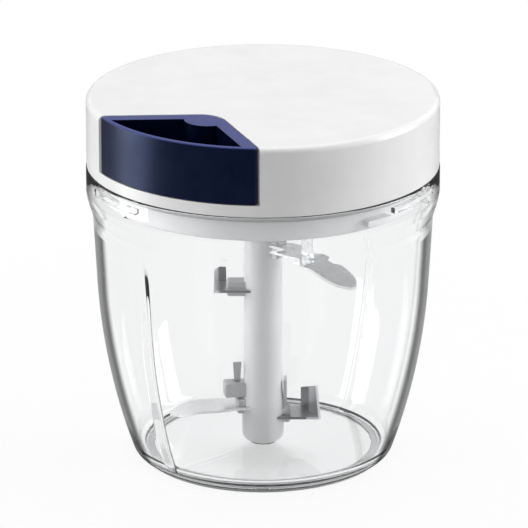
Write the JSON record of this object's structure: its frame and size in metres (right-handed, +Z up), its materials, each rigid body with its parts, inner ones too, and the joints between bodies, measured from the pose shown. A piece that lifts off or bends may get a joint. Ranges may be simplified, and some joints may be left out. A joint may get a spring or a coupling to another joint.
{
  "type": "pull-string food chopper",
  "caption": "Hand-pulled food chopper: clear bowl with wall ribs, white bayonet lid, blue cord-pull handle and a spinning blade shaft.",
  "frame": {"origin": "centre of the bowl's axis on the surface it stands on", "axes": "+Z up along the blade shaft; the handle faces and is pulled towards -Y"},
  "size_m": [0.133, 0.133, 0.142],
  "materials": {
    "clear_plastic": "clear, polished",
    "white_plastic": "satin gloss",
    "inner_plastic": "satin",
    "blue_plastic": "satin",
    "shaft_plastic": "satin",
    "drive_plastic": "satin",
    "bush_plastic": "satin",
    "ring_rubber": "translucent, matt",
    "seal_rubber": "matt",
    "steel": "turned",
    "spring_steel": "blued",
    "blade_steel": "ground",
    "cord": "braided"
  },
  "bodies": {
    "bowl_body": {"bowl": "clear_plastic", "base_ring": "ring_rubber", "pivot_pin": "steel"},
    "lid_seal": {"lid_seal": "seal_rubber"},
    "lid": {"lid_base": "inner_plastic", "lid_cover": "white_plastic", "lid_screws": "steel", "axle_pin": "steel", "cord_eyelet": "steel", "drive_bush": "bush_plastic", "recoil_spring": "spring_steel", "pull_cord": "cord"},
    "handle": {"handle_shell": "blue_plastic", "anchor_cap": "blue_plastic", "cord_knot": "cord"},
    "reel": {"reel": "inner_plastic", "reel_cap": "inner_plastic", "cord_winding": "cord", "pawl_pins": "steel", "pawl_springs": "spring_steel"},
    "pawl_1": {"pawl_1": "steel"},
    "pawl_2": {"pawl_2": "steel"},
    "drive_hub": {"drive_hub": "drive_plastic"},
    "blade_unit": {"blade_shaft": "shaft_plastic", "blade_top_long": "blade_steel", "blade_upper_short": "blade_steel", "blade_lower_upright": "blade_steel", "blade_lower_short": "blade_steel", "blade_lower_long": "blade_steel"},
    "blade_bush": {"shaft_bush": "bush_plastic"}
  },
  "joints": [
    {"name": "lid_lift", "type": "slide", "parent": "bowl_body", "child": "lid_seal", "axis": [0, 0, 1], "range_m": [0, 0.1]},
    {"name": "lid_twist", "type": "hinge", "parent": "lid_seal", "child": "lid", "pos_m": [0, 0, 0.11], "axis": [0, 0, 1], "range_deg": [0, 20]},
    {"name": "handle_pull", "type": "slide", "parent": "lid", "child": "handle", "axis": [0, -1, 0], "range_m": [0, 0.45], "stiffness_N_per_m": 6, "springref_m": -0.4, "deforming": ["pull_cord", "recoil_spring"]},
    {"name": "reel_spin", "type": "hinge", "parent": "lid", "child": "reel", "pos_m": [0, 0, 0.12], "axis": [0, 0, 1], "range_deg": [-1394.48, 0]},
    {"name": "pawl_1_swing", "type": "hinge", "parent": "reel", "child": "pawl_1", "pos_m": [0.0085, 0.01472, 0.1115], "axis": [0, 0, 1], "range_deg": [-12, 0], "stiffness_Nm_per_rad": 0.002, "springref_deg": 11.46, "deforming": ["pawl_springs"]},
    {"name": "pawl_2_swing", "type": "hinge", "parent": "reel", "child": "pawl_2", "pos_m": [-0.0085, -0.01472, 0.1115], "axis": [0, 0, 1], "range_deg": [-12, 0]},
    {"name": "drive_spin", "type": "hinge", "parent": "lid", "child": "drive_hub", "pos_m": [0, 0, 0.107], "axis": [0, 0, 1], "range_deg": [-1394.48, 0]},
    {"name": "bush_turn", "type": "hinge", "parent": "bowl_body", "child": "blade_bush", "pos_m": [0, 0, 0.016], "axis": [0, 0, 1], "range_deg": [0, 20]},
    {"name": "blade_spin", "type": "hinge", "parent": "blade_bush", "child": "blade_unit", "pos_m": [0, 0, 0.02], "axis": [0, 0, 1], "range_deg": [-1394.48, 0]}
  ],
  "couplings": [
    {"joint": "reel_spin", "follows": "handle_pull", "rad_per_m": -54.054},
    {"joint": "drive_spin", "follows": "handle_pull", "rad_per_m": -54.054},
    {"joint": "blade_spin", "follows": "handle_pull", "rad_per_m": -54.054},
    {"joint": "pawl_2_swing", "follows": "pawl_1_swing", "ratio": 1},
    {"joint": "bush_turn", "follows": "lid_twist", "ratio": 1}
  ]
}
